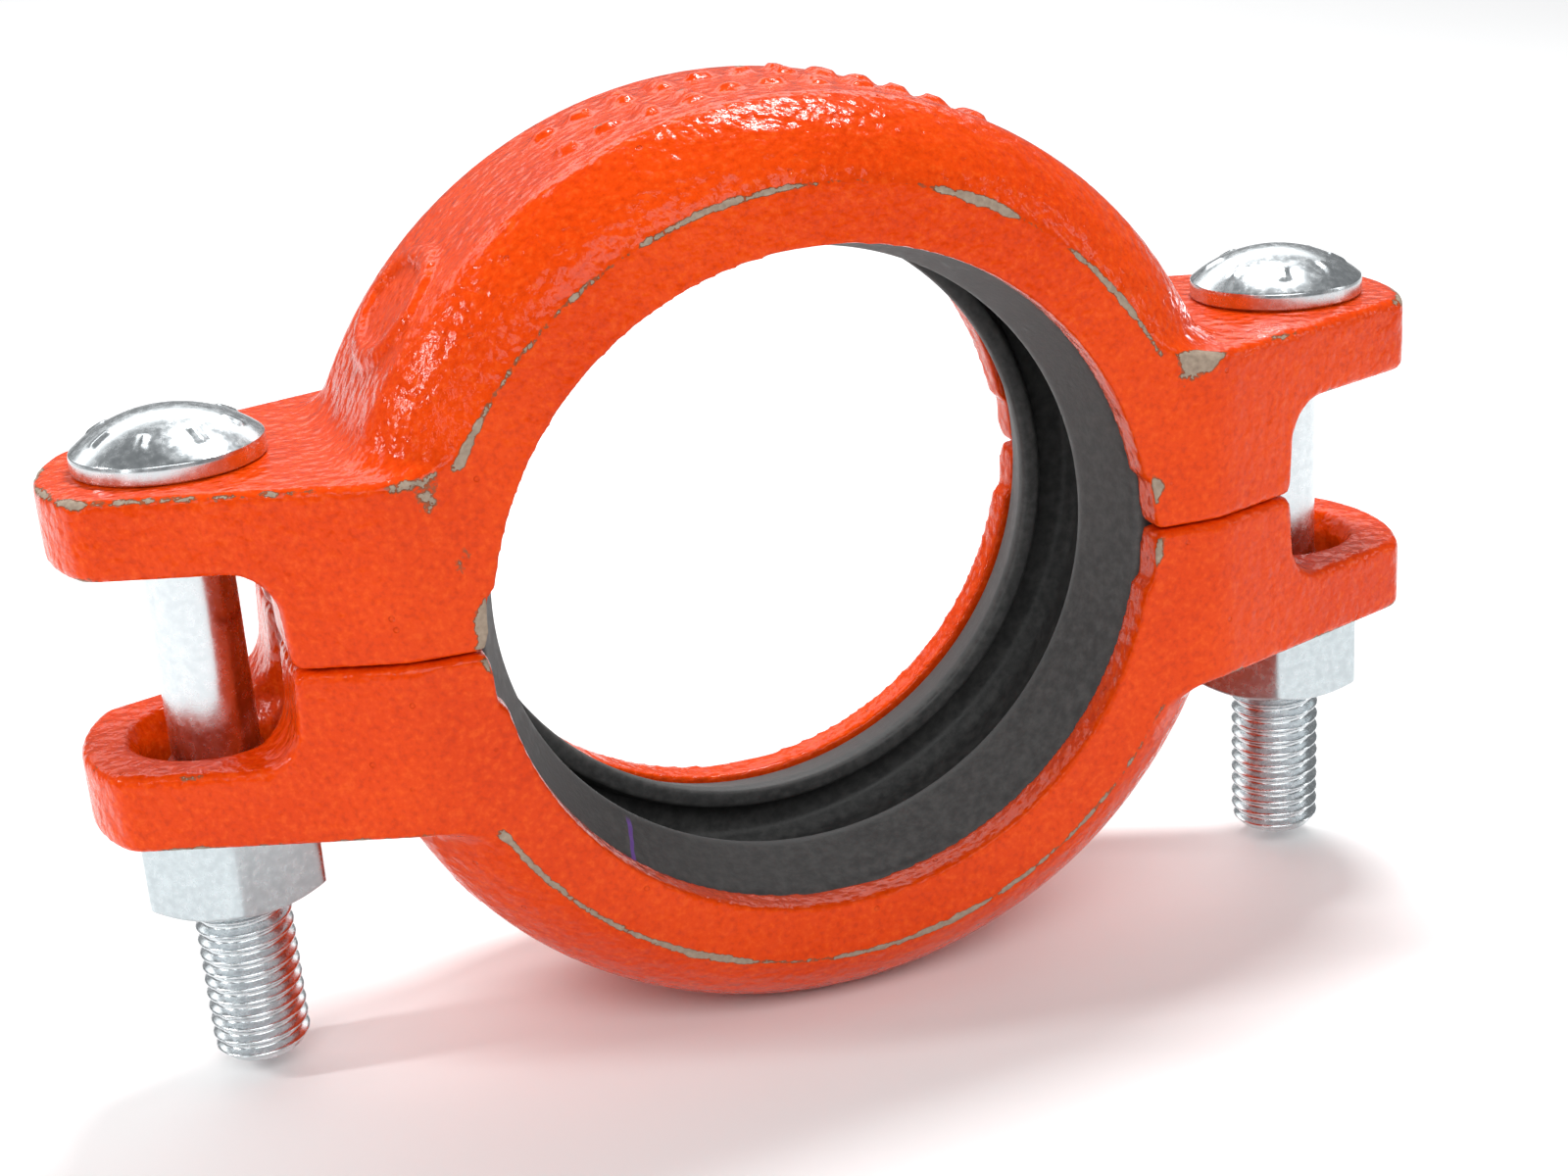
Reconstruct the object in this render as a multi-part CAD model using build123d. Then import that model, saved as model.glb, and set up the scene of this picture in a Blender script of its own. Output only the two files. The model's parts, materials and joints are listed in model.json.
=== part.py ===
from build123d import *
import math
import os

# Grooved pipe coupling for 88.9 mm (3 inch) steel pipe, bolted up.
# X runs across the two bolts, Y is the pipe axis, Z is the bolt axis with the heads up.
# The origin is the centre of the pipe bore, on the plane where the two housings meet.
# All sizes are in millimetres.

# Housing ring: a channel section turned about the pipe axis
face_half_width = 25.5      # pipe axis, centre to either flat face
key_bore_r = 43.4           # inner radius of the two keys that drop into the pipe grooves
key_width = 4.9             # thickness of each key along the pipe
face_outer_r = 51.0         # outer radius of the flat ring face
crown_r = 60.5              # outside radius of the crown
crown_half_width = 15.4     # half width of the flat band round the crown
shoulder_bulge = 1.3        # how far the shoulder stands out from a straight slope
crown_edge_round = 6.0      # rounding between the shoulder and the crown
casting_wall = 4.3          # wall between the gasket pocket and the outside
pad_gap = 0.3               # paint and casting gap left between the two housings
key_corner_r = 1.5          # rounding of the keys' ends at the joint plane
key_relief_depth = 0.9      # each key is cut back this far near the joint plane
key_relief_angle = 10.0     # over this angle from the joint plane, in degrees

# Bolt ears: one casting has two, and the other casting is the same one turned over
bolt_x = 76.3               # pipe axis to either bolt axis
ear_tip_x = 92.7            # pipe axis to the tip of an ear
ear_tip_inset = 2.3         # the tip's radius, seen along the bolt, is this much under the half width
ear_tip_corner_r = 4.0      # rounding where the tip meets the tapered sides
ear_taper_start_x = 53.8    # the flat faces start to taper here
ear_taper_angle = 20.0      # taper of each side, seen along the bolt
ear_taper_blend_r = 12.0    # rounding where the taper starts
ear_outer_z = 22.7          # seat of the head or of the nut, above the joint plane
ear_inner_z = 12.5          # inner face of the ear, above the joint plane
pad_outer_x = 67.0          # outer end of the pads that meet on the joint plane
pad_draft = 4.0             # draft of the wall at the pad's outer end, in degrees
gap_fillet_r = 5.6          # fillet between that wall and the ear's inner face
pad_corner_r = 1.6          # rounding of the pad's end at the joint plane
ear_blend_r = 5.0           # fillet between the ear's outer face and the ring
casting_edge_round = 1.1    # rounding of the edges of the flat faces and the ears
overlap = 1.0               # how far pieces that are joined or cut reach past each other
tiny = 0.01                 # how closely an edge or corner is matched to where it should be

# Raised foundry marks on the crown: two rows of plain bars, blocks and studs, and one oval ring
mark_height = 0.9
mark_row_y = 6.4            # centre plane to the middle of either row
mark_step_angle = 5.2       # along the crown, from one mark to the next
mark_first_angle = 62.0     # from +X, over the top
marks_per_row = 11
mark_long = 5.6             # a mark's size along the pipe
mark_short = 2.2            # a bar's or a stroke's width
ring_mark_angle = 141.0
ring_mark_length = 17.0     # round the crown
ring_mark_width = 22.0      # along the pipe
ring_mark_stroke = 2.4

# Bolt hole in each ear: a slot that holds the oval neck, opened out towards the joint plane
neck_extra = 0.7            # the neck is this much wider, along the pipe, than the thread
neck_length = 18.2          # across the neck, away from the pipe
neck_height = 5.0
neck_clearance = 0.35       # all round the neck, in the slot
hole_mouth_r = 10.9         # radius of the opened-out mouth at the ear's inner face
hole_mouth_depth = 6.2      # depth of the opened-out part, from the ear's inner face

# Track bolt and heavy hex nut, 1/2-13 UNC
thread_major_d = 12.7
threads_per_inch = 13
shank_d = 11.3
bolt_length = 81.2          # under the head
thread_start_z = -14.6      # where the plain shank gives way to the thread
head_d = 23.8
head_rim_height = 2.3
head_dome_height = 4.5
head_corner = 0.5           # bevel under the head's rim
nut_across_flats = 22.2
nut_height = 12.3
thread_clearance = 0.12     # radial, and along the axis on each flank
nut_chamfer_angle = 30.0
nut_washer_land = 0.3       # the chamfers start this far inside the flats
nut_mouth_depth = 1.2       # countersink of the thread at both ends of the nut
nut_mouth_clearance = 0.5   # radial, at the countersink's edge
nut_turns = (26.4, 4.0)     # where the corners of the left and right nut stopped, in degrees from +X

# Gasket: a C section with two lips that turn in towards the middle
gasket_clearance = 0.35     # between the gasket's outside and its pocket
lip_bore_r = 40.7           # radius at the lips' inner edge
lip_edge_y = 8.6            # centre plane to the lips' inner edge
lip_land = 1.6              # length of the short cylindrical land at that edge
lip_mouth_r = 43.9          # radius where the pipe enters the lip
lip_thickness = 2.6
gasket_back_wall = 4.2      # rubber behind the pressure groove
gasket_side_wall = 5.0      # rubber at each side of the pressure groove
lip_mouth_bevel = (0.8, 0.6)    # radial and axial size of the bevel where the pipe enters
lip_root_rise = 2.2         # the lip thickens by this much towards its root
groove_corner = (1.5, 2.5)  # radial and axial size of the slope in the groove's corners

# Worked out from the sizes above
pitch = 25.4 / threads_per_inch
thread_crest_share = 1 / 8      # of the pitch: the flat at the crest
thread_root_share = 1 / 4       # of the pitch: the flat at the root
thread_depth = (1 - thread_crest_share - thread_root_share) / 2 * pitch / math.tan(math.radians(30))
thread_minor_d = thread_major_d - 2 * thread_depth
neck_width = thread_major_d + neck_extra
ear_tip_r = face_half_width - ear_tip_inset
pocket_half_width = face_half_width - key_width
shoulder_rise = crown_r - face_outer_r
shoulder_run = face_half_width - crown_half_width
bolt_end_z = ear_outer_z - bolt_length

# Turning +X about this axis goes to +Z first, over the top of the ring
OVER_THE_TOP = Axis((0, 0, 0), (0, -1, 0))


def pocket_outline(clearance):
    """Corners (radius, y) of the gasket pocket's roof and side, moved in by clearance.

    The slope between them runs parallel to the casting's shoulder, one wall inside it.
    """
    slope_length = math.hypot(shoulder_rise, shoulder_run)
    half_width = pocket_half_width - clearance
    inset = casting_wall + clearance
    side_r = face_outer_r + ((face_half_width - half_width) * shoulder_rise
                             - inset * slope_length) / shoulder_run
    roof_r = crown_r - inset
    roof_half_width = half_width - (roof_r - side_r) * shoulder_run / shoulder_rise
    return (roof_r, roof_half_width), (side_r, half_width)


def ring_blank():
    """Upper half of the ring, solid from just inside the key bore out to the crown."""
    a, c = face_half_width, crown_half_width
    inner_r = key_bore_r - overlap
    middle_r = (face_outer_r + crown_r) / 2 + shoulder_bulge / math.sqrt(2)
    middle_y = (a + c) / 2 + shoulder_bulge / math.sqrt(2)
    section = make_face([
        Line((inner_r, -a), (face_outer_r, -a)),
        ThreePointArc((face_outer_r, -a), (middle_r, -middle_y), (crown_r, -c)),
        Line((crown_r, -c), (crown_r, c)),
        ThreePointArc((crown_r, c), (middle_r, middle_y), (face_outer_r, a)),
        Line((face_outer_r, a), (inner_r, a)),
        Line((inner_r, a), (inner_r, -a)),
    ])
    crown_corners = [v for v in section.vertices() if abs(v.X - crown_r) < tiny]
    section = fillet(crown_corners, crown_edge_round)
    return revolve(section, OVER_THE_TOP, revolution_arc=180)


def ear_elevation():
    """Pad, web and ear seen along the pipe: a closed outline in X and Z."""
    root_x = key_bore_r - 2 * overlap
    wall_top_x = pad_outer_x + ear_inner_z * math.tan(math.radians(pad_draft))
    outline = Polyline((root_x, 0), (pad_outer_x, 0), (wall_top_x, ear_inner_z),
                       (ear_tip_x + overlap, ear_inner_z), (ear_tip_x + overlap, ear_outer_z),
                       (root_x, ear_outer_z), close=True)
    face = Plane.XZ * make_face(outline)
    pad_corner = [v for v in face.vertices() if abs(v.X - pad_outer_x) < tiny and v.Z < tiny]
    face = fillet(pad_corner, pad_corner_r)
    gap_corner = [v for v in face.vertices() if abs(v.X - wall_top_x) < tiny]
    return fillet(gap_corner, gap_fillet_r)


def ear_plan():
    """Tapered ear with a rounded tip, seen along the bolt: a closed outline in X and Y."""
    slope = math.tan(math.radians(ear_taper_angle))
    start_x, half = ear_taper_start_x, face_half_width
    root_x = key_bore_r - 3 * overlap
    # the tapered side meets the tip's circle at this distance past the circle's centre
    centre_x = ear_tip_x - ear_tip_r
    half_at_centre = half + slope * (start_x - centre_x)
    k = 1 + slope ** 2
    along = (slope * half_at_centre + math.sqrt(k * ear_tip_r ** 2 - half_at_centre ** 2)) / k
    corner_x, corner_y = centre_x + along, half_at_centre - slope * along
    face = make_face([
        Line((root_x, -half), (start_x, -half)),
        Line((start_x, -half), (corner_x, -corner_y)),
        ThreePointArc((corner_x, -corner_y), (ear_tip_x, 0), (corner_x, corner_y)),
        Line((corner_x, corner_y), (start_x, half)),
        Line((start_x, half), (root_x, half)),
        Line((root_x, half), (root_x, -half)),
    ])
    tip_corners = [v for v in face.vertices() if abs(v.X - corner_x) < tiny]
    face = fillet(tip_corners, ear_tip_corner_r)
    bends = [v for v in face.vertices() if abs(v.X - start_x) < tiny]
    return fillet(bends, ear_taper_blend_r)


def ear():
    """One solid ear with its web and pad, on the +X side."""
    side_view = extrude(ear_elevation(), amount=face_half_width + overlap, both=True)
    top_view = extrude(ear_plan(), amount=ear_outer_z)
    return side_view & top_view


def middle_of(edge):
    """Middle point and length of an edge, rounded, to find the same edge on another solid."""
    point = edge.position_at(0.5)
    return tuple(round(value, 3) for value in (point.X, point.Y, point.Z, edge.length))


def casting_rim(casting):
    """Edges round the flat faces and the ears' sides, all the way round, except on the joint plane."""
    walls = [f for f in casting.faces() if abs(f.normal_at(f.center()).Z) < tiny]
    names = [middle_of(e) for wall in walls for e in wall.edges()]
    single = {name for name in names if names.count(name) == 1}
    rim = [e for e in casting.edges() if middle_of(e) in single]
    above_bore = [e for e in rim if e.bounding_box().min.Z > ear_outer_z - 2 * tiny]
    round_gap = [e for e in rim if abs(e.center().X) > face_outer_r and e.center().Z > tiny]
    return above_bore + [e for e in round_gap if e not in above_bore]


def housing_blank():
    """The ring with its two ears, blended and rounded, before anything is cut out of it."""
    side = ear()
    casting = ring_blank() + side + mirror(side, Plane.YZ)
    seat_edges = [e for e in casting.edges()
                  if abs(e.center().Z - ear_outer_z) < tiny and e.bounding_box().size.Z < 2 * tiny]
    blend = [e for e in seat_edges if abs(e.center().X) < crown_r
             and face_half_width - abs(e.position_at(0.5).Y) > casting_edge_round / 2]
    casting = fillet(blend, ear_blend_r)
    return fillet(casting_rim(casting), casting_edge_round)


def on_crown(angle, flat_shape):
    """Stand a flat shape, drawn with Y along the pipe, on the crown at an angle from +X."""
    sunk = 2 * overlap
    prism = extrude(flat_shape, amount=sunk + mark_height + overlap)
    return Rot(0, 90 - angle, 0) * Pos(0, 0, crown_r - sunk) * prism


def mark_shape(kind, y):
    """One plain foundry mark in a row: a bar, a pair of blocks, a stud or a bar set across."""
    if kind == 0:
        return [Pos(0, y) * SlotOverall(mark_long, mark_short, rotation=90)]
    if kind == 1:
        return [Pos(0, y + side * mark_long / 3) * Rectangle(mark_short, mark_short) for side in (-1, 1)]
    if kind == 2:
        return [Pos(0, y) * Circle(mark_short / 1.5)]
    return [Pos(0, y) * SlotOverall(1.5 * mark_short, mark_short / 1.2)]


def foundry_marks():
    """All the raised marks, cut to one height above the crown."""
    marks = []
    for index in range(marks_per_row):
        angle = mark_first_angle + index * mark_step_angle
        for row, y in enumerate((-mark_row_y, mark_row_y)):
            kind = (index * (3 + 2 * row) + row) % 4
            marks += [on_crown(angle, shape) for shape in mark_shape(kind, y)]
    outer = Ellipse(ring_mark_length / 2, ring_mark_width / 2)
    inner = Ellipse(ring_mark_length / 2 - ring_mark_stroke, ring_mark_width / 2 - ring_mark_stroke)
    marks.append(on_crown(ring_mark_angle, outer - inner))
    envelope = Rot(90, 0, 0) * Cylinder(crown_r + mark_height, 2 * crown_half_width)
    return [mark & envelope for mark in marks]


def gasket_pocket():
    """Everything inside the key bore, and the wider pocket between the keys."""
    (roof_r, roof_y), (side_r, side_y) = pocket_outline(0)
    outline = Polyline((0, -side_y), (side_r, -side_y), (roof_r, -roof_y), (roof_r, roof_y),
                       (side_r, side_y), (0, side_y), close=True)
    return revolve(make_face(outline), Axis.Y)


def key_reliefs():
    """Shallow cuts in the keys next to the joint plane, one at each end of the half ring."""
    cut = Rot(90, 0, 0) * Cylinder(key_bore_r + key_relief_depth, 2 * (face_half_width + overlap))
    height = key_bore_r * math.sin(math.radians(key_relief_angle))
    slab = Box(3 * key_bore_r, 3 * face_half_width, 2 * height)
    return cut & slab


def bolt_hole():
    """Slot for the oval neck, opened out towards the joint plane, on the bolt axis at the origin."""
    width = neck_width + 2 * neck_clearance
    length = neck_length + 2 * neck_clearance
    slot = extrude(SlotOverall(length, width), amount=ear_outer_z + overlap)
    pocket = extrude(Circle(hole_mouth_r), amount=ear_inner_z)
    mouth_middle_z = ear_inner_z + hole_mouth_depth / 2
    mouth = Pos(0, 0, mouth_middle_z) * Cone(hole_mouth_r, width / 2, hole_mouth_depth)
    return slot + pocket + mouth


def housing():
    """The upper housing. The lower one is the same casting turned half a turn about X."""
    casting = housing_blank() + foundry_marks() - gasket_pocket()
    casting -= Rot(90, 0, 0) * Cylinder(key_bore_r, 2 * (face_half_width + overlap))
    casting -= key_reliefs()
    for side in (-1, 1):
        casting -= Pos(side * bolt_x, 0, 0) * bolt_hole()
    below = Pos(0, 0, (pad_gap - ear_outer_z) / 2) * Box(4 * bolt_x, 3 * face_half_width, ear_outer_z)
    casting -= below
    key_end_x = key_bore_r + key_relief_depth
    key_ends = [e for e in casting.edges() if abs(e.tangent_at(0.5).Y) > 1 - tiny
                and abs(e.center().Z - pad_gap / 2) < tiny and abs(abs(e.center().X) - key_end_x) < pad_gap]
    return fillet(key_ends, key_corner_r)


def gasket():
    """C-section ring whose two lips lean in over a pressure groove that is open to the bore."""
    (roof_r, roof_y), (side_r, side_y) = pocket_outline(gasket_clearance)
    groove_r = roof_r - gasket_back_wall
    groove_y = side_y - gasket_side_wall
    lip_back_r = lip_bore_r + lip_thickness
    bevel_r, bevel_y = lip_mouth_bevel
    slope_r, slope_y = groove_corner
    half = [
        (lip_back_r, lip_edge_y), (lip_bore_r, lip_edge_y), (lip_bore_r, lip_edge_y + lip_land),
        (lip_mouth_r, side_y - bevel_y), (lip_mouth_r + bevel_r, side_y), (side_r, side_y),
        (roof_r, roof_y),
    ]
    groove = [(groove_r, groove_y - slope_y), (groove_r - slope_r, groove_y),
              (lip_back_r + lip_root_rise, groove_y)]
    other_half = [(r, -y) for r, y in reversed(half)]
    other_groove = [(r, -y) for r, y in reversed(groove)]
    outline = Polyline(*half, *other_half, *other_groove, *groove, close=True)
    return revolve(make_face(outline), Axis.Y)


def thread_profile(grow):
    """One pitch of a 60 degree thread as (radius, height) corners, from under one crest to the next.

    grow moves the crest, the root and both flanks outwards, for cutting the nut.
    """
    crest_r = thread_major_d / 2 + grow
    root_r = thread_minor_d / 2 + grow
    half_crest = thread_crest_share * pitch / 2 + grow
    half_root = thread_root_share * pitch / 2 - grow
    return [(crest_r, -half_crest), (crest_r, half_crest), (root_r, pitch / 2 - half_root),
            (root_r, pitch / 2 + half_root), (crest_r, pitch - half_crest)]


def helix(radius, start_z):
    """One right-hand turn of the thread."""
    return Edge.make_helix(pitch, pitch, radius, center=(0, 0, start_z))


def thread_end(profile, turn):
    """The spiral ramp and the flat radial face that close the thread below one of its turns."""
    low = turn * pitch + profile[0][1]
    axis = Edge.make_line((0, 0, low), (0, 0, low + pitch))
    ramp = Face.make_surface_from_curves(axis, helix(profile[0][0], low))
    outline = Polyline((0, low), *[(r, turn * pitch + z) for r, z in profile], (0, low + pitch), close=True)
    return [ramp, (Plane.XZ * make_face(outline)).face()]


def threaded_rod(grow, from_z, to_z):
    """Right-hand thread between two heights, in step with every other one made here.

    Whole turns are sewn from strips between helices, then cut off square at both heights.
    """
    profile = thread_profile(grow)
    first, last = math.floor(from_z / pitch) - 1, math.ceil(to_z / pitch) + 1
    faces = thread_end(profile, first) + thread_end(profile, last)
    for turn in range(first, last):
        edges = [helix(r, turn * pitch + z) for r, z in profile]
        faces += [Face.make_surface_from_curves(low, high) for low, high in zip(edges, edges[1:])]
    slab = Pos(0, 0, (from_z + to_z) / 2) * Cylinder(thread_major_d, to_z - from_z)
    return Solid(Shell(faces)) & slab


def bolt():
    """Track bolt on its own axis: domed head, oval neck, plain shank and rolled thread."""
    seat = ear_outer_z
    head_r = head_d / 2
    rim_z = seat + head_rim_height
    dome_top = rim_z + head_dome_height
    dome_r = (head_r ** 2 + head_dome_height ** 2) / (2 * head_dome_height)
    halfway = math.asin(head_r / dome_r) / 2
    dome_middle = (dome_r * math.sin(halfway), dome_top - dome_r + dome_r * math.cos(halfway))
    head = make_face([
        Line((0, seat), (head_r - head_corner, seat)),
        Line((head_r - head_corner, seat), (head_r, seat + head_corner)),
        Line((head_r, seat + head_corner), (head_r, rim_z)),
        ThreePointArc((head_r, rim_z), dome_middle, (0, dome_top)),
        Line((0, dome_top), (0, seat)),
    ])
    head = revolve(Plane.XZ * head, Axis.Z)
    neck = Pos(0, 0, seat - neck_height) * extrude(SlotOverall(neck_length, neck_width), amount=neck_height)
    shank_length = seat - neck_height - thread_start_z
    shank = Pos(0, 0, thread_start_z + shank_length / 2) * Cylinder(shank_d / 2, shank_length)
    rod = threaded_rod(0, bolt_end_z, thread_start_z) - end_chamfer()
    return head + neck + shank + rod


def end_chamfer():
    """Cutter that chamfers the bolt's end to just under the thread's root."""
    inner_r = thread_minor_d / 2 - thread_clearance
    outer_r = thread_major_d / 2 + overlap
    below_end = bolt_end_z - overlap
    outline = Polyline((inner_r, bolt_end_z), (inner_r, below_end), (outer_r, below_end),
                       (outer_r, bolt_end_z + outer_r - inner_r), close=True)
    return revolve(Plane.XZ * make_face(outline), Axis.Z)


def nut(turned):
    """Heavy hex nut under the lower ear, chamfered at both ends, with its internal thread.

    turned is the angle of its corners. The thread keeps in step with the bolt's at any angle.
    """
    top, bottom = -ear_outer_z, -ear_outer_z - nut_height
    corner_r = nut_across_flats / 2 / math.cos(math.radians(30))
    hexagon = Rot(0, 0, turned) * RegularPolygon(corner_r, 6)
    block = Pos(0, 0, bottom) * extrude(hexagon, amount=nut_height)
    bearing_r = nut_across_flats / 2 - nut_washer_land
    reach = corner_r + overlap
    fall = (reach - bearing_r) * math.tan(math.radians(nut_chamfer_angle))
    outline = Polyline((0, bottom), (bearing_r, bottom), (reach, bottom + fall), (reach, top - fall),
                       (bearing_r, top), (0, top), close=True)
    block = block & revolve(Plane.XZ * make_face(outline), Axis.Z)
    block = block - threaded_rod(thread_clearance, bottom - overlap, top + overlap)
    mouth_r = thread_major_d / 2 + nut_mouth_clearance
    cone = Cone(mouth_r, mouth_r - nut_mouth_depth, nut_mouth_depth)
    block = block - Pos(0, 0, bottom + nut_mouth_depth / 2) * cone
    return block - Pos(0, 0, top - nut_mouth_depth / 2) * Rot(180, 0, 0) * cone


def save(node, shape):
    """Write one node to its own STEP file."""
    shape.label = node
    export_step(shape, "parts/" + node + ".step")


os.makedirs("parts", exist_ok=True)
casting = housing()
save("upper_housing", casting)
save("lower_housing", Rot(180, 0, 0) * casting)
save("gasket", gasket())
for side_name, x, turned in zip(("left", "right"), (-bolt_x, bolt_x), nut_turns):
    save("bolt_" + side_name, Pos(x, 0, 0) * bolt())
    save("nut_" + side_name, Pos(x, 0, 0) * nut(turned))
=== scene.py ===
import json
import math

import bmesh
import bpy
import numpy as np
from mathutils import Matrix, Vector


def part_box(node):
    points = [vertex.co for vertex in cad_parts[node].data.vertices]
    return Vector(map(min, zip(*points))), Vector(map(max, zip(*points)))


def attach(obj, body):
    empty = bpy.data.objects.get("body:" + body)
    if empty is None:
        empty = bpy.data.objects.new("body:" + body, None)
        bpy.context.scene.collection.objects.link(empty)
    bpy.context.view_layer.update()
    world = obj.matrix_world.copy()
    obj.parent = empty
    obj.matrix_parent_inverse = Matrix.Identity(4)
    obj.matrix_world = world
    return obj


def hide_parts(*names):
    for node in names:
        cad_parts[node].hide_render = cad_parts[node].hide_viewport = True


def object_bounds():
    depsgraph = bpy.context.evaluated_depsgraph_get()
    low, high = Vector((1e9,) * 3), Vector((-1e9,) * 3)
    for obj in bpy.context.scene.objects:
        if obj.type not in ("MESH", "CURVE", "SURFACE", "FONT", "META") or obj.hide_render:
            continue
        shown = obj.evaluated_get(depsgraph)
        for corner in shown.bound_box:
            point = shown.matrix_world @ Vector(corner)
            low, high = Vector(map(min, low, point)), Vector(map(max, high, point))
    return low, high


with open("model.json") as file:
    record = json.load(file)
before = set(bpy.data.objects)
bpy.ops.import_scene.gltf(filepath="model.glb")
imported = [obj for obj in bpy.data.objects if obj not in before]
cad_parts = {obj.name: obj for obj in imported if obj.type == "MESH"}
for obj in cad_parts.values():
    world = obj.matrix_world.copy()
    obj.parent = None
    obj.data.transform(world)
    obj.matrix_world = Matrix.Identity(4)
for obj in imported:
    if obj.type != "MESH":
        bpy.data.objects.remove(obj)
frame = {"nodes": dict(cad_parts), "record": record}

# A bolted grooved-pipe coupling: two painted castings, a rubber ring, two plated bolts and nuts.
# X runs across the bolts, Y is the pipe axis, Z is the bolt axis with the heads up. Metres.

MM = 0.001
CAD_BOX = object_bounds()
RECORD = frame["record"]


def box_of(node):
    """Lowest and highest corners of a CAD node, as two arrays."""
    low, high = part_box(node)
    return np.array(low), np.array(high)


# ---------------------------------------------------------------- meshes

def add_object(name, mesh):
    """Object for a mesh, at the origin and shaded smooth."""
    mesh.polygons.foreach_set("use_smooth", np.ones(len(mesh.polygons), bool))
    mesh.update()
    piece = bpy.data.objects.new(name, mesh)
    bpy.context.scene.collection.objects.link(piece)
    return piece


def mesh_object(name, points, faces):
    """Mesh object from an (n, 3) array of points and a list of faces."""
    mesh = bpy.data.meshes.new(name)
    mesh.from_pydata(points.tolist(), [], faces)
    mesh.validate()
    return add_object(name, mesh)


def grid_faces(rows, columns, wrap_rows):
    """Quads between neighbouring rows and columns; the columns always close, the rows may."""
    last = rows if wrap_rows else rows - 1
    row, column = np.meshgrid(np.arange(last), np.arange(columns), indexing="ij")
    below, beside = (row + 1) % rows, (column + 1) % columns
    corners = (row * columns + column, below * columns + column,
               below * columns + beside, row * columns + beside)
    return np.stack(corners, -1).reshape(-1, 4)


def turned_rings(name, radius, height, turn, centre, wrap_rows=False):
    """Closed surface of rings around a vertical axis, listed from the top outwards and down.

    Point (i, j) = centre + (radius[i, j] cos turn[j], radius[i, j] sin turn[j], height[i, j]).
    Where the rows don't wrap, the first and last rings are closed by a fan to their middle.
    """
    rows, columns = radius.shape
    x = centre[0] + radius * np.cos(turn)
    y = centre[1] + radius * np.sin(turn)
    points = np.stack([x, y, height + np.zeros_like(x)], -1).reshape(-1, 3)
    faces = grid_faces(rows, columns, wrap_rows).tolist()
    if not wrap_rows:
        first, last = len(points), len(points) + 1
        points = np.vstack([points, [[centre[0], centre[1], height[0].mean()],
                                     [centre[0], centre[1], height[-1].mean()]]])
        here = np.arange(columns)
        beside, start = (here + 1) % columns, (rows - 1) * columns
        faces += np.stack([np.full(columns, first), here, beside], 1).tolist()
        faces += np.stack([np.full(columns, last), start + beside, start + here], 1).tolist()
    return mesh_object(name, points, faces)


def smoothstep(low, high, value):
    """0 below low, 1 above high, and an even S between them."""
    t = np.clip((value - low) / (high - low), 0, 1)
    return t * t * (3 - 2 * t)


def soft_min(a, b, width):
    """The lesser of two arrays, with the corner between them rounded over width."""
    h = np.clip(0.5 + 0.5 * (b - a) / width, 0, 1)
    return b * (1 - h) + a * h - width * h * (1 - h)


def resampled(corners, step):
    """Points about one step apart along a polyline of (a, b) corners, every corner kept."""
    corners = np.array(corners, float)
    out = []
    for start, end in zip(corners[:-1], corners[1:]):
        count = max(int(np.ceil(np.hypot(*(end - start)) / step)), 1)
        out.append(start + (end - start) * np.arange(count)[:, None] / count)
    out.append(corners[-1:])
    return np.vstack(out)


def neighbour_mean(mesh, values, rounds):
    """values averaged with their edge neighbours, half and half, so many rounds over."""
    edges = np.empty(len(mesh.edges) * 2, np.int32)
    mesh.edges.foreach_get("vertices", edges)
    a, b = edges.reshape(-1, 2).T
    count = np.bincount(edges, minlength=len(mesh.vertices)).astype(float)
    values = values.copy()
    for _ in range(rounds):
        total = np.zeros_like(values)
        for axis in range(values.shape[1]):
            total[:, axis] = (np.bincount(a, values[b, axis], len(count))
                              + np.bincount(b, values[a, axis], len(count)))
        values = 0.5 * values + 0.5 * total / count[:, None]
    return values


def coordinates(mesh):
    """The mesh's points as an (n, 3) array."""
    flat = np.empty(len(mesh.vertices) * 3)
    mesh.vertices.foreach_get("co", flat)
    return flat.reshape(-1, 3)


def point_normals(mesh):
    """The mesh's vertex normals as an (n, 3) array."""
    flat = np.empty(len(mesh.vertices) * 3, np.float32)
    mesh.vertex_normals.foreach_get("vector", flat)
    return flat.reshape(-1, 3).astype(float)


def set_attribute(mesh, name, values):
    """Store one number per point under a name that materials can read."""
    mesh.attributes.new(name, "FLOAT", "POINT").data.foreach_set("value", values.astype(np.float32))


# ---------------------------------------------------------------- castings

REMESH_STEP = 0.67 * MM
WELD = 1e-6                 # points nearer than this are one point, in metres
EDGE_REACH = 16             # rounds of averaging that find the convex edges
EDGE_DEPTH = 0.22 * MM      # so far above the average, a point counts as a full edge
FACE_EDGE_R = 51.0 * MM     # where the flat ring face turns into the shoulder
FACE_EDGE_WEAR = 1.75
FACE_EDGE_WIDTH = 0.9 * MM
FACE_EDGE_CLEAR = (21 * MM, 24 * MM)    # nearer the joint plane, that edge runs into the webs
BORE_EDGE_R = 45.0 * MM     # inside this, the keys' edges wear less
JOINT_REACH = 2.0 * MM      # so near the joint plane, edges wear less
SCUFF_WEAR = 2.0
SCUFFS = (                  # x, z and radius in mm of knocked patches on the near faces
    (-50.0, 20.0, 3.6), (-46.5, 12.0, 3.0), (-44.8, 4.0, 2.6), (49.0, 20.5, 3.8), (46.0, 14.0, 2.6),
    (44.8, 6.0, 2.4), (45.5, -3.5, 2.6), (46.5, -10.0, 2.2), (-71.0, -16.0, 3.2), (-66.5, -19.5, 2.6),
    (-77.0, -20.5, 2.4), (-59.0, -15.5, 1.8), (52.0, 23.0, 2.4), (85.0, 18.0, 1.6),
)


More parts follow.
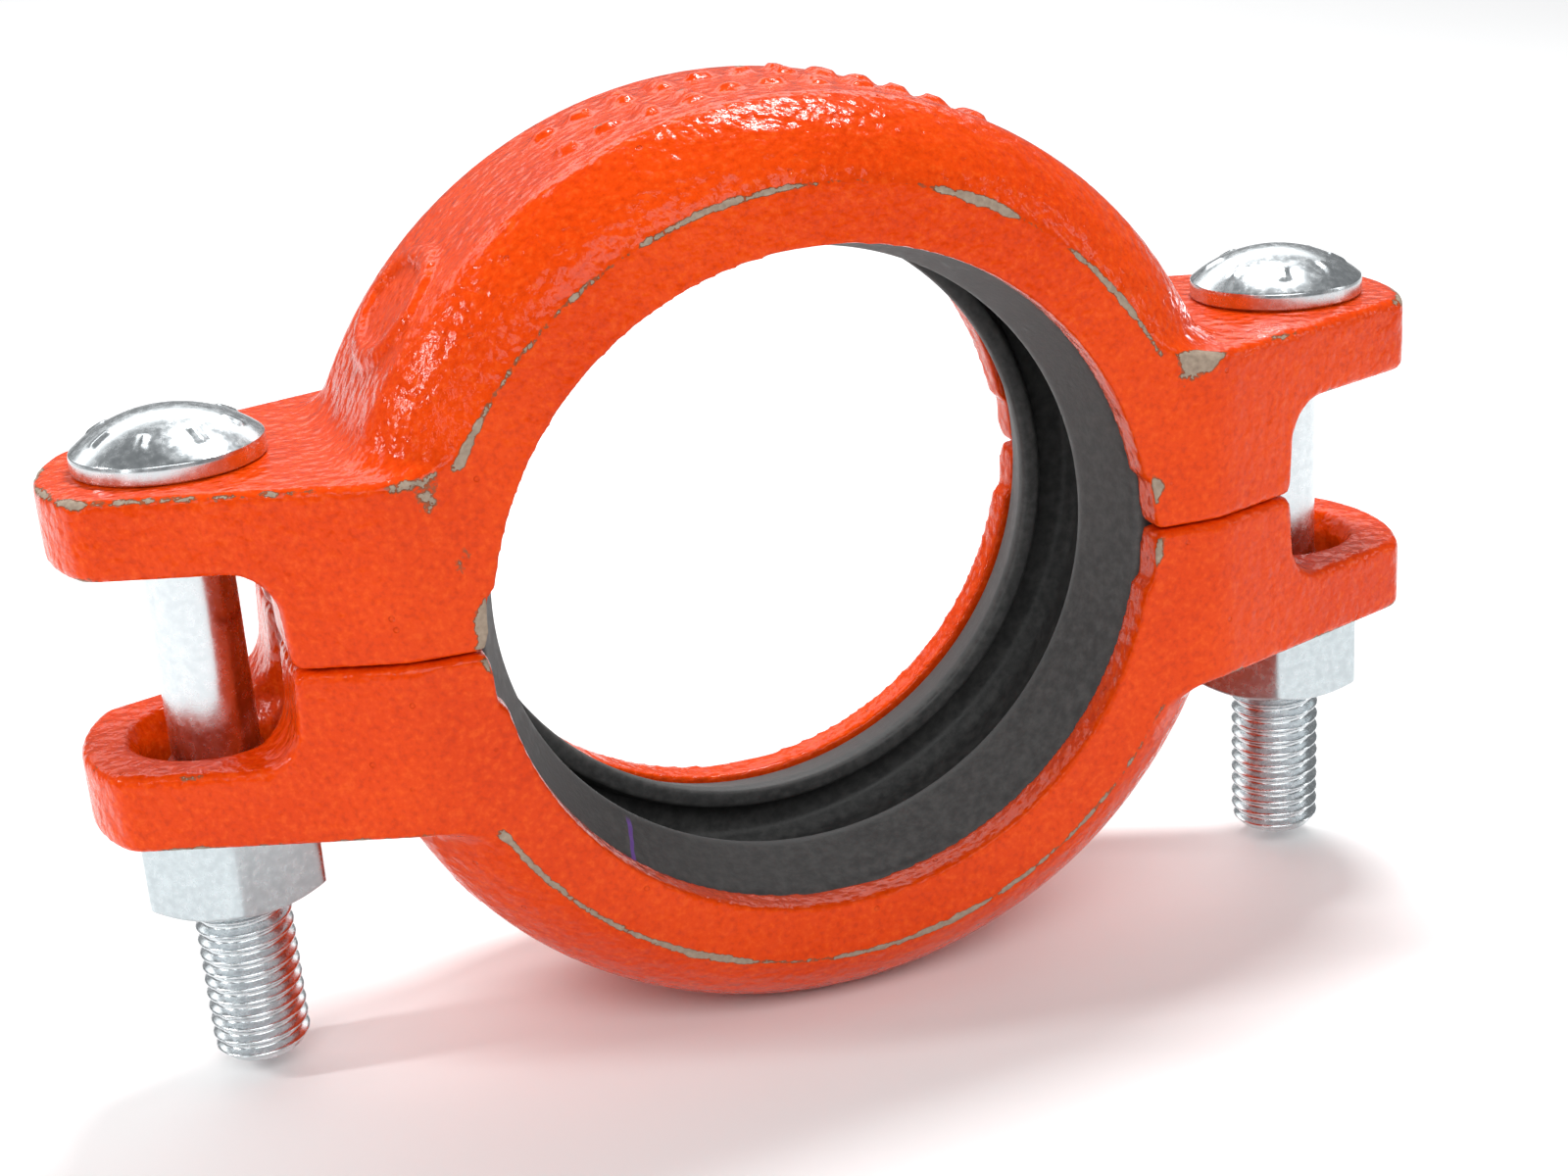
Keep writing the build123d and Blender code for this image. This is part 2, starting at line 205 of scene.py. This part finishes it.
def remeshed(node):
    """Mesh of a CAD node in even quads of REMESH_STEP, its doubled points welded first."""
    mesh = frame["nodes"][node].data.copy()
    work = bmesh.new()
    work.from_mesh(mesh)
    bmesh.ops.remove_doubles(work, verts=work.verts, dist=WELD)
    work.to_mesh(mesh)
    work.free()
    mesh.materials.clear()
    source = add_object(node + "_source", mesh)
    remesh = source.modifiers.new("remesh", "REMESH")
    remesh.mode = "VOXEL"
    remesh.voxel_size = REMESH_STEP
    ready = source.evaluated_get(bpy.context.evaluated_depsgraph_get())
    even = bpy.data.meshes.new_from_object(ready)
    bpy.data.objects.remove(source)
    return even


def edge_wear_and_shade(cast, points, normals, face_y):
    """How worn each point is: about 1 on a convex edge, 0 on a flat, below 0 in a corner, where it gives
    the enamel painted shade.

    wear = how far the averaged surface lies below the point, along its normal, over EDGE_DEPTH; less
    at the keys and the joint, more where the flat face at face_y turns into the shoulder, and in a
    round patch at each scuff.
    """
    average = neighbour_mean(cast, points, EDGE_REACH)
    wear = ((points - average) * normals).sum(1) / EDGE_DEPTH
    wear = neighbour_mean(cast, wear[:, None], 1)[:, 0]
    x, y, z = points.T
    from_axis = np.hypot(x, z)
    wear = wear * (0.55 + 0.45 * smoothstep(BORE_EDGE_R - 1 * MM, BORE_EDGE_R, from_axis))
    wear = wear * (0.45 + 0.55 * smoothstep(0, JOINT_REACH, np.abs(z)))
    at_face = smoothstep(face_y - 2.5 * MM, face_y - 1.0 * MM, np.abs(y))
    on_ring = at_face * smoothstep(*FACE_EDGE_CLEAR, np.abs(z))
    wear = wear + FACE_EDGE_WEAR * on_ring * np.exp(-((from_axis - FACE_EDGE_R) / FACE_EDGE_WIDTH) ** 2)
    for scuff_x, scuff_z, scuff_r in SCUFFS:
        away = np.hypot(x - scuff_x * MM, z - scuff_z * MM) / (scuff_r * MM)
        wear = wear + SCUFF_WEAR * (y < 0) * at_face * np.exp(-away ** 2)
    return wear


def cast_housing(node):
    """A casting: the CAD housing in even quads, its edges softened, marked for wear and pebbles.

    The attribute edge is the wear measure of the function above; below 0, in the corners, it also drives
    painted shade in the enamel. The attribute pebble is 1 on the curved and sloping skin and 0.4 on the
    flat faces at either end of the pipe axis.
    """
    cast = remeshed(node)
    low, high = box_of(node)
    points = np.clip(neighbour_mean(cast, coordinates(cast), 1), low, high)
    cast.vertices.foreach_set("co", points.ravel())
    cast.update()
    normals = point_normals(cast)
    set_attribute(cast, "edge", edge_wear_and_shade(cast, points, normals, high[1]))
    flat = smoothstep(0.9, 0.99, np.abs(normals[:, 1]))
    set_attribute(cast, "pebble", neighbour_mean(cast, (1 - 0.6 * flat)[:, None], 4)[:, 0])
    return add_object(node + "_casting", cast)


# ---------------------------------------------------------------- gasket

GASKET_STEP = 0.5       # mm between points of the section
GASKET_TURNS = 280      # points round the ring


def gasket_ring(node):
    """Rubber ring: a rounded C section turned about the pipe axis.

    The section is drawn as (radius, y) corners in mm, resampled every GASKET_STEP and averaged twice,
    so each corner rounds off. Point (i, j) = (radius[i] cos t[j], y[i], radius[i] sin t[j]).
    """
    _, high = box_of(node)
    roof, side = high[0] / MM, high[1] / MM
    bore = RECORD["mounts"][0]["dims"]["r_mm"]
    lip = [(bore + 2.6, 8.7), (bore + 0.15, 8.7), (bore, 10.2), (bore + 1.0, 13.2),
           (bore + 3.2, side - 0.6)]
    back = [(bore + 4.0, side), (51.0, side), (roof, 13.5)]
    groove = [(roof - 4.2, 13.0), (roof - 5.7, 15.2), (bore + 4.8, 15.2)]
    half = lip + back
    corners = half + [(r, -y) for r, y in half[::-1]] + [(r, -y) for r, y in groove[::-1]] + groove
    section = resampled(corners + corners[:1], GASKET_STEP)[:-1]
    for _ in range(2):
        section = (np.roll(section, 1, 0) + 2 * section + np.roll(section, -1, 0)) / 4
    turn = 2 * np.pi * np.arange(GASKET_TURNS) / GASKET_TURNS
    radius, y = section[:, :1] * MM, section[:, 1:] * MM
    points = np.stack([radius * np.cos(turn), y + 0 * turn, radius * np.sin(turn)], -1).reshape(-1, 3)
    return mesh_object(node + "_ring", points, grid_faces(len(section), len(turn), True).tolist())


# ---------------------------------------------------------------- bolts and nuts

PITCH = 25.4 / 13 * MM
MAJOR_R = 6.35 * MM
THREAD_DEPTH = 0.5413 * PITCH
THREAD_ROUND = 0.16 * MM    # over which the thread's corners are rounded
THREAD_GAP = 0.12 * MM      # the nut's thread outside the bolt's
SHANK_R = 5.65 * MM
THREAD_TOP = -14.6 * MM     # height where the thread has faded into the shank
BOLT_COLUMNS = 120
DOME = 4.5 * MM             # height of the head's dome
RIM = 2.3 * MM              # height of the head's edge
DASHES = 8                  # low radial marks round the dome
DASH_RISE, DASH_WIDTH = 0.28 * MM, 0.55 * MM
NECK_LENGTH, NECK_WIDTH = 18.2 * MM, 13.4 * MM
# share of the way in to the shank, and mm above the seat
NECK_RINGS = ((0.0, 0.0), (0.0, -0.4), (0.0, -2.5), (0.0, -4.4), (0.12, -4.9), (0.5, -5.0))
# share of the thread's minor radius, and mm above the end
END_RINGS = ((0.93, 0.0), (0.8, 0.0), (0.4, 0.12))
NUT_TURNS = {"nut_left": math.radians(26.4), "nut_right": math.radians(4.0)}    # corners, from +X
NUT_FLATS = 22.2 * MM       # across flats
NUT_LAND = 0.3 * MM         # the chamfers start this far inside the flats
NUT_MOUTH = 0.5 * MM        # countersink outside the thread's major radius
NUT_SIDE_COLUMNS = 26       # points along each flat
NUT_CROWDING = 0.78         # 0 spaces them evenly, 1 crowds them most towards the corners
HEX_POWER = 46              # the higher, the sharper the hexagon's corners
SIXTH = math.radians(60)


def thread_radius(turn, z, grow=0.0):
    """Radius of a right-hand 60 degree thread with rounded crests, at angle turn and height z.

    With d the distance along the axis from the nearest crest: major - clip((d - pitch / 16) tan 60, 0,
    depth), its two corners rounded.
    """
    along = (z / PITCH - turn / (2 * np.pi)) % 1.0
    from_crest = np.minimum(along, 1 - along) * PITCH
    fall = (from_crest - PITCH / 16) * math.tan(math.radians(60))
    fall = -soft_min(-fall, np.zeros_like(fall), THREAD_ROUND)
    return MAJOR_R + grow - soft_min(fall, THREAD_DEPTH + np.zeros_like(fall), THREAD_ROUND)


def slot_radius(turn, length, width):
    """Distance from the middle of a round-ended slot to its edge, at angle turn."""
    cosine, sine = np.abs(np.cos(turn)), np.abs(np.sin(turn)) + 1e-9
    half_width, reach = width / 2, (length - width) / 2
    round_end = reach * cosine + np.sqrt(np.maximum(half_width ** 2 - (reach * sine) ** 2, 0))
    return np.where(half_width * cosine / sine <= reach, half_width / sine, round_end)


def head_rows(turn, head_r, top):
    """Rows of the domed head, from near its middle to its underside, as (radius, height) pairs.

    The dome is a sphere's cap, height = top - R + sqrt(R^2 - radius^2), with DASHES low radial dashes.
    The rim below it is a rounded edge, slightly out of round.
    """
    sphere_r = (head_r ** 2 + DOME ** 2) / (2 * DOME)
    share = np.linspace(0.02, 0.985, 56)[:, None] + 0 * turn
    radius = head_r * share
    height = top - sphere_r + np.sqrt(sphere_r ** 2 - radius ** 2)
    beside = (turn * DASHES / (2 * np.pi)) % 1.0 - 0.5
    dash = np.exp(-(beside * 2 * np.pi * radius / DASHES / DASH_WIDTH) ** 4)
    dash = dash * smoothstep(0.60, 0.64, share) * (1 - smoothstep(0.80, 0.84, share))
    edge = resampled([(0.993, 0.10), (1.0, -0.35), (1.0, -2.0), (0.985, -2.2), (0.95, -2.3)], 0.14)
    wave = 1 - 0.004 * (1 + np.sin(3 * turn + 1.0)) / 2 - 0.003 * (1 + np.sin(7 * turn)) / 2
    rim = (head_r * edge[:, :1] * wave, top - DOME + edge[:, 1:] * MM + 0 * turn)
    return [(radius, height + DASH_RISE * dash), rim]


def neck_rows(turn, seat):
    """Rows of the oval neck under the head, which blend into the round shank."""
    neck = slot_radius(turn, NECK_LENGTH, NECK_WIDTH)
    rows = []
    for share_in, rise in NECK_RINGS:
        ring = neck * (1 - share_in) + SHANK_R * share_in
        rows.append((ring[None], seat + rise * MM + 0 * turn[None]))
    return rows


def shank_rows(turn, seat, end):
    """Rows of the plain shank, the thread and the chamfered end, closed inwards.

    The radius goes from the shank's to thread_radius over 1.3 turns of thread, and stays under a
    45 degree cone at the end.
    """
    shank = np.linspace(seat - 5.0 * MM, THREAD_TOP + 0.3 * MM, 40)[:, None] + 0 * turn
    z = np.arange(THREAD_TOP, end, -PITCH / 15)[:, None] + 0 * turn
    share = 1 - smoothstep(THREAD_TOP - 1.3 * PITCH, THREAD_TOP, z)
    radius = SHANK_R + (thread_radius(turn, z) - SHANK_R) * share
    end_cone = MAJOR_R - THREAD_DEPTH - 0.15 * MM + (z - end)
    rows = [(SHANK_R + 0 * shank, shank), (soft_min(radius, end_cone, 0.1 * MM), z)]
    for share_out, rise in END_RINGS:
        ring = (MAJOR_R - THREAD_DEPTH) * share_out + 0 * turn[None]
        rows.append((ring, end + rise * MM + 0 * ring))
    return rows


def stacked(rows):
    """Radius and height arrays of a list of row blocks, one above the other."""
    return np.vstack([radius for radius, _ in rows]), np.vstack([height for _, height in rows])


def bolt_piece(node):
    """Track bolt: domed head with low radial dashes, oval neck, plain shank, thread, chamfered end."""
    low, high = box_of(node)
    turn = 2 * np.pi * np.arange(BOLT_COLUMNS) / BOLT_COLUMNS
    seat = high[2] - DOME - RIM
    rows = head_rows(turn, (high[0] - low[0]) / 2, high[2]) + neck_rows(turn, seat)
    rows = rows + shank_rows(turn, seat, low[2])
    piece = turned_rings(node + "_piece", *stacked(rows), turn, (low + high) / 2)
    piece.data.vertices.foreach_set("co", np.clip(coordinates(piece.data), low, high).ravel())
    return piece


def hex_outline(corner_turn):
    """Angles, crowded towards the corners, and the radius of a hexagon with rounded corners there.

    radius = half the flats over the power mean of the cosines to the two nearest flats.
    """
    part = np.arange(NUT_SIDE_COLUMNS) / NUT_SIDE_COLUMNS
    spread = part - NUT_CROWDING * np.sin(2 * np.pi * part) / (2 * np.pi)
    turn = (corner_turn + SIXTH * (np.arange(6)[:, None] + spread)).ravel()
    off = (turn - corner_turn) % SIXTH - SIXTH / 2
    near, next_to = np.cos(off) ** HEX_POWER, np.cos(SIXTH - np.abs(off)) ** HEX_POWER
    mean = (near + next_to) ** (1 / HEX_POWER)
    return turn, NUT_FLATS / 2 / mean


def nut_piece(node):
    """Heavy hex nut: rounded corners, chamfers at both ends, threaded bore; one closed loop of rows.

    The outline is kept under a 30 degree cone that starts at each end.
    """
    low, high = box_of(node)
    turn, outline = hex_outline(NUT_TURNS[node])
    bearing = NUT_FLATS / 2 - NUT_LAND
    height = high[2] - low[2]
    drop = np.concatenate([np.linspace(0, 2.4, 22), np.linspace(2.9, 6.1, 6)])[:, None] * MM
    cone = bearing + 0.1 * MM + drop / math.tan(math.radians(30))
    side = soft_min(outline + 0 * drop, cone + 0 * outline, 0.35 * MM)
    side[0] = np.minimum(side[0], bearing)
    mouth = MAJOR_R + NUT_MOUTH
    face = np.linspace(mouth, bearing - NUT_LAND, 8)[:, None] + 0 * turn
    steps = int(height / (PITCH / 14))
    z = (low[2] + height * (np.arange(steps) + 0.5) / steps)[:, None] + 0 * turn
    inner = thread_radius(turn, z, THREAD_GAP)
    inner = np.maximum(inner, mouth - np.minimum(z - low[2], high[2] - z))
    rows = [(face, high[2] + 0 * face), (side, high[2] - drop + 0 * side),
            (side[::-1], low[2] + drop[::-1] + 0 * side), (face[::-1], low[2] + 0 * face), (inner, z)]
    return turned_rings(node + "_piece", *stacked(rows), turn, (low + high) / 2, wrap_rows=True)


# ---------------------------------------------------------------- shader helpers

def add_node(tree, kind, inputs=None, **settings):
    """Shader node with settings, its inputs given as values or as other nodes' sockets."""
    made = tree.nodes.new(kind)
    for key, value in settings.items():
        setattr(made, key, value)
    for key, value in (inputs or {}).items():
        if isinstance(value, bpy.types.NodeSocket):
            tree.links.new(value, made.inputs[key])
        else:
            made.inputs[key].default_value = value
    return made


def calc(tree, operation, a, b):
    """Result of one math node."""
    return add_node(tree, "ShaderNodeMath", {0: a, 1: b}, operation=operation).outputs[0]


def ramp(tree, value, low, high, to_low=0.0, to_high=1.0):
    """value taken smoothly from low..high to to_low..to_high, and held outside."""
    inputs = {"Value": value, "From Min": low, "From Max": high, "To Min": to_low, "To Max": to_high}
    return add_node(tree, "ShaderNodeMapRange", inputs, interpolation_type="SMOOTHSTEP").outputs["Result"]


def mix(tree, share, a, b):
    """Colour a, or b where share is 1."""
    return add_node(tree, "ShaderNodeMix", {0: share, 6: a, 7: b}, data_type="RGBA").outputs[2]


def noise(tree, position, scale, detail=2.0, roughness=0.5):
    """Noise of about 0.5, its cells about 1 / scale metres."""
    inputs = {"Vector": position, "Scale": scale, "Detail": detail, "Roughness": roughness}
    return add_node(tree, "ShaderNodeTexNoise", inputs).outputs[0]


def cells(tree, position, scale):
    """Distance to the nearest of scattered points, over their spacing."""
    return add_node(tree, "ShaderNodeTexVoronoi", {"Vector": position, "Scale": scale}).outputs["Distance"]


def new_group(name, inputs, outputs):
    """Shader node group with named float inputs (VECTOR where the default is None)."""
    tree = bpy.data.node_groups.new(name, "ShaderNodeTree")
    for label, default in inputs.items():
        kind = "NodeSocketVector" if default is None else "NodeSocketFloat"
        socket = tree.interface.new_socket(label, in_out="INPUT", socket_type=kind)
        if default is not None:
            socket.default_value = default
    for label in outputs:
        tree.interface.new_socket(label, in_out="OUTPUT", socket_type="NodeSocketFloat")
    given = tree.nodes.new("NodeGroupInput").outputs
    result = tree.nodes.new("NodeGroupOutput").inputs
    return tree, given, result


def use_group(tree, group, inputs):
    """Outputs of a node group placed in a tree."""
    return add_node(tree, "ShaderNodeGroup", inputs, node_tree=group).outputs


def cast_grain_group():
    """Sand-cast skin under thick paint: soft pebbles, finer grain and sparse pits."""
    tree, given, result = new_group("cast grain", {"Position": None, "Pebble": 1.0}, ["Height", "Cloud"])
    position = given["Position"]
    lumps = noise(tree, position, 330, 2.0, 0.45)
    pebbles = ramp(tree, cells(tree, position, 520), 0.0, 0.75, 1.0, 0.0)
    fine = noise(tree, position, 1500, 1.5, 0.5)
    pits = ramp(tree, cells(tree, position, 170), 0.035, 0.075, -1.0, 0.0)
    pebbled = calc(tree, "ADD", calc(tree, "MULTIPLY", lumps, 1.5), calc(tree, "MULTIPLY", pebbles, 0.45))
    height = calc(tree, "MULTIPLY", pebbled, given["Pebble"])
    height = calc(tree, "ADD", height, calc(tree, "MULTIPLY", fine, 0.34))
    height = calc(tree, "ADD", height, calc(tree, "MULTIPLY", pits, 0.7))
    tree.links.new(height, result["Height"])
    tree.links.new(noise(tree, position, 1150, 2.5, 0.6), result["Cloud"])
    return tree


def edge_chips_group():
    """Chipped paint: patches that break out of the convex edges, with a thin darker border."""
    tree, given, result = new_group("edge chips", {"Position": None, "Edge": 0.0, "Amount": 0.5},
                                    ["Bare", "Border"])
    position = given["Position"]
    stretch = calc(tree, "MULTIPLY", calc(tree, "SUBTRACT", noise(tree, position, 95, 2.0, 0.5), 0.5), 2.6)
    rough = calc(tree, "MULTIPLY", calc(tree, "SUBTRACT", noise(tree, position, 640, 3.0, 0.65), 0.5), 1.7)
    level = calc(tree, "ADD", calc(tree, "ADD", stretch, rough), given["Edge"])
    level = calc(tree, "SUBTRACT", level, calc(tree, "SUBTRACT", 2.1, given["Amount"]))
    tree.links.new(ramp(tree, level, 0.0, 0.06), result["Bare"])
    tree.links.new(ramp(tree, level, -0.22, -0.02), result["Border"])
    return tree


def handling_group():
    """Faint cloudiness and fine rubbed lines on plated metal."""
    tree, given, result = new_group("handling", {"Position": None}, ["Cloud", "Lines"])
    tree.links.new(noise(tree, given["Position"], 900, 3.0, 0.6), result["Cloud"])
    squeeze = add_node(tree, "ShaderNodeMapping", {"Vector": given["Position"], "Scale": (1, 1, 14)})
    tree.links.new(noise(tree, squeeze.outputs[0], 900, 2.0, 0.6), result["Lines"])
    return tree


CAST_GRAIN = cast_grain_group()
EDGE_CHIPS = edge_chips_group()
HANDLING = handling_group()


def new_material(name):
    """Material with its shader, its node tree and the object position socket."""
    material = bpy.data.materials.new(name)
    material.use_nodes = True
    tree = material.node_tree
    shader = tree.nodes["Principled BSDF"]
    position = tree.nodes.new("ShaderNodeTexCoord").outputs["Object"]
    return material, tree, shader, position


def attribute(tree, name):
    """A per-point number that the mesh carries."""
    return add_node(tree, "ShaderNodeAttribute", attribute_name=name).outputs["Fac"]


def bump(tree, shader, height, distance):
    """Drive the shader's normal from a height, in units of distance."""
    made = add_node(tree, "ShaderNodeBump", {"Height": height, "Distance": distance, "Strength": 1.0})
    tree.links.new(made.outputs[0], shader.inputs["Normal"])


# Linear colours. Where a name has two, the darker comes first.
PAINT = ((0.66, 0.044, 0.0006, 1), (0.73, 0.056, 0.001, 1))
PAINT_THIN = (0.84, 0.11, 0.010, 1)
PAINT_THICK = (0.44, 0.022, 0.001, 1)
# painted shade: the enamel darkened in concave corners and fillets, where shade falls
PAINT_CORNER_SHADE = (0.26, 0.016, 0.004, 1)
RUST = ((0.16, 0.05, 0.022, 1), (0.36, 0.10, 0.04, 1))
PRIMER = ((0.17, 0.12, 0.09, 1), (0.46, 0.37, 0.28, 1))
RUBBER = ((0.040, 0.041, 0.041, 1), (0.082, 0.082, 0.080, 1))
PEN = (0.14, 0.06, 0.30, 1)
BOLT_ZINC = ((0.58, 0.62, 0.64, 1), (0.70, 0.74, 0.76, 1))
NUT_ZINC = ((0.44, 0.49, 0.51, 1), (0.54, 0.60, 0.62, 1))


def enamel_colour(tree, position, edge, cloud, chips):
    """Enamel that is paler where thin and darker where thick, with painted shade darkening the concave
    corners, and rust and primer at the chips.
    """
    broad = noise(tree, position, 40, 2.0, 0.5)
    paint = mix(tree, ramp(tree, broad, 0.3, 0.7), *PAINT)
    paint = mix(tree, ramp(tree, cloud, 0.5, 0.72, 0.0, 0.4), paint, PAINT_THIN)
    paint = mix(tree, ramp(tree, cloud, 0.5, 0.28, 0.0, 0.4), paint, PAINT_THICK)
    # painted shade: darker the deeper the concave corner, up to 0.45 of the way to the shade colour
    paint = mix(tree, ramp(tree, edge, -0.2, -1.6, 0.0, 0.45), paint, PAINT_CORNER_SHADE)
    rust = mix(tree, noise(tree, position, 900), *RUST)
    primer = mix(tree, noise(tree, position, 1300, 3.0), *PRIMER)
    return mix(tree, chips["Bare"], mix(tree, chips["Border"], paint, rust), primer)


def enamel_material():
    """Orange-red enamel on a sand casting, chipped back to grey primer along the edges."""
    material, tree, shader, position = new_material("orange enamel on cast iron")
    edge = attribute(tree, "edge")
    grain = use_group(tree, CAST_GRAIN, {"Position": position, "Pebble": attribute(tree, "pebble")})
    chips = use_group(tree, EDGE_CHIPS, {"Position": position, "Edge": edge, "Amount": 0.02})
    colour = enamel_colour(tree, position, edge, grain["Cloud"], chips)
    tree.links.new(colour, shader.inputs["Base Color"])
    gloss = ramp(tree, grain["Cloud"], 0.3, 0.7, 0.12, 0.22)
    rough = calc(tree, "ADD", gloss, calc(tree, "MULTIPLY", chips["Bare"], 0.42))
    tree.links.new(rough, shader.inputs["Roughness"])
    shader.inputs["Specular IOR Level"].default_value = 0.16
    height = calc(tree, "SUBTRACT", grain["Height"], calc(tree, "MULTIPLY", chips["Bare"], 0.5))
    bump(tree, shader, height, 0.26 * MM)
    return material


def pen_strokes(tree, position):
    """1 on a few radial strokes of marking pen, low on the left of the near lip, 0 elsewhere."""
    parts = add_node(tree, "ShaderNodeSeparateXYZ", {0: position}).outputs
    angle = calc(tree, "ARCTAN2", parts["Z"], parts["X"])
    wobble = calc(tree, "MULTIPLY", noise(tree, position, 120, 2.0), 0.05)
    lines = calc(tree, "PINGPONG", calc(tree, "ADD", angle, wobble), 0.07)
    stroke = ramp(tree, lines, 0.006, 0.011, 1.0, 0.0)
    after, before = ramp(tree, angle, -2.38, -2.34), ramp(tree, angle, -2.20, -2.16, 1.0, 0.0)
    near = ramp(tree, parts["Y"], -11.0 * MM, -12.5 * MM)
    window = calc(tree, "MULTIPLY", after, before)
    return calc(tree, "MULTIPLY", calc(tree, "MULTIPLY", stroke, window), near)


def rubber_material():
    """Dark grey moulded rubber, dusty, with a few strokes of violet marking pen on one lip."""
    material, tree, shader, position = new_material("seal rubber")
    cloud = noise(tree, position, 700, 4.0, 0.65)
    colour = mix(tree, ramp(tree, cloud, 0.3, 0.75), *RUBBER)
    colour = mix(tree, pen_strokes(tree, position), colour, PEN)
    tree.links.new(colour, shader.inputs["Base Color"])
    tree.links.new(ramp(tree, cloud, 0.3, 0.7, 0.50, 0.68), shader.inputs["Roughness"])
    bump(tree, shader, noise(tree, position, 1400, 3.0), 0.05 * MM)
    return material


def plated_material(name, dark, light):
    """Zinc plate: metallic, faintly clouded, with fine lines round the part."""
    material, tree, shader, position = new_material(name)
    marks = use_group(tree, HANDLING, {"Position": position})
    colour = mix(tree, ramp(tree, marks["Cloud"], 0.3, 0.7), dark, light)
    tree.links.new(colour, shader.inputs["Base Color"])
    shader.inputs["Metallic"].default_value = 1.0
    tree.links.new(ramp(tree, marks["Cloud"], 0.25, 0.75, 0.20, 0.30), shader.inputs["Roughness"])
    height = calc(tree, "ADD", calc(tree, "MULTIPLY", marks["Lines"], 0.35), marks["Cloud"])
    bump(tree, shader, height, 0.010 * MM)
    return material


# ---------------------------------------------------------------- the object

enamel = enamel_material()
bolt_zinc = plated_material("bolt zinc", *BOLT_ZINC)
nut_zinc = plated_material("nut zinc", *NUT_ZINC)
rubber = rubber_material()

PIECES = (      # node, maker, material, body, slot
    ("lower_housing", cast_housing, enamel, "lower_half", "painted_iron"),
    ("upper_housing", cast_housing, enamel, "upper_half", "painted_iron"),
    ("gasket", gasket_ring, rubber, "lower_half", "seal_rubber"),
    ("bolt_left", bolt_piece, bolt_zinc, "left_bolt", "zinc_bolt"),
    ("bolt_right", bolt_piece, bolt_zinc, "right_bolt", "zinc_bolt"),
    ("nut_left", nut_piece, nut_zinc, "left_nut", "zinc_nut"),
    ("nut_right", nut_piece, nut_zinc, "right_nut", "zinc_nut"),
)
for node, maker, material, body, slot in PIECES:
    piece = maker(node)
    piece.data.materials.append(material)
    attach(piece, body)
    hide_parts(node)


# ---------------------------------------------------------------- floor, light and camera

FLOOR_REACH = 3.0
LIGHTS = (      # name, place, target, size in metres, watts
    ("key over the top", (0.22, 0.26, 0.86), (0, 0, 0), (0.36, 0.06), 8.0),
    ("front fill", (-0.15, -0.75, 0.60), (0, 0, 0), (0.8, 0.4), 4.6),
    ("left high", (-0.78, 0.08, 0.46), (0, 0, 0), (0.06, 0.24), 2.6),
    ("strip left", (-0.80, -0.50, 0.25), (0, 0, 0), (0.10, 0.5), 0.8),
    ("strip right", (0.85, -0.40, 0.30), (0, 0, 0), (0.10, 0.5), 1.0),
    ("far floor", (-0.1, 1.6, 1.0), (-0.1, 1.6, 0), (3.0, 1.2), 24),
)
ROOM_COLOUR, ROOM_STRENGTH = (0.97, 0.985, 1, 1), 0.26
CAMERA_PLACE = (-0.089130, -0.286965, 0.099636)
CAMERA_RIGHT = (0.94433178, -0.3219668, -0.06763774)
CAMERA_UP = (0.16918209, 0.2989165, 0.93916258)
CAMERA_BACK = (-0.28216113, -0.89832417, 0.33674737)
CAMERA_LENS, CAMERA_SENSOR = 53.961, 36.0


def floor_plane():
    """Pale floor that the lower housing just touches."""
    low = CAD_BOX[0][2]
    signs = ((-1, -1), (1, -1), (1, 1), (-1, 1))
    corners = np.array([(FLOOR_REACH * x, FLOOR_REACH * y, low) for x, y in signs])
    plane = mesh_object("floor", corners, [[0, 1, 2, 3]])
    material, _, shader, _ = new_material("floor")
    shader.inputs["Base Color"].default_value = (0.93, 0.93, 0.93, 1)
    shader.inputs["Roughness"].default_value = 0.6
    plane.data.materials.append(material)


def placed(thing, name, right, up, back, place):
    """Object for a light or camera that looks against back, with up upwards."""
    holder = bpy.data.objects.new(name, thing)
    bpy.context.scene.collection.objects.link(holder)
    rows = [[*row, p] for row, p in zip(np.stack([right, up, back], 1), place)]
    holder.matrix_world = Matrix(rows + [[0, 0, 0, 1]])
    return holder


def area_light(name, place, target, size, watts):
    """Rectangular soft light at a place, facing a target."""
    light = bpy.data.lights.new(name, "AREA")
    light.shape, light.size, light.size_y = "RECTANGLE", size[0], size[1]
    light.energy = watts
    place, target = np.array(place, float), np.array(target, float)
    back = (place - target) / np.linalg.norm(place - target)
    right = np.cross((0, 1, 0) if abs(back[2]) > 0.99 else (0, 0, 1), back)
    right /= np.linalg.norm(right)
    placed(light, name, right, np.cross(back, right), back, place)


def main_camera():
    """Camera above and left of the pipe axis, rolled a little, looking at the middle of the coupling."""
    camera = bpy.data.cameras.new("camera")
    camera.lens, camera.sensor_width = CAMERA_LENS, CAMERA_SENSOR
    camera.clip_start, camera.clip_end = 0.01, 20
    bpy.context.scene.camera = placed(camera, "camera", CAMERA_RIGHT, CAMERA_UP, CAMERA_BACK, CAMERA_PLACE)


def white_room():
    """Even pale light from all round."""
    world = bpy.data.worlds.new("white room")
    world.use_nodes = True
    inputs = world.node_tree.nodes["Background"].inputs
    inputs["Color"].default_value, inputs["Strength"].default_value = ROOM_COLOUR, ROOM_STRENGTH
    bpy.context.scene.world = world


floor_plane()
for settings in LIGHTS:
    area_light(*settings)
white_room()
main_camera()
bpy.context.scene.view_settings.view_transform = "Standard"
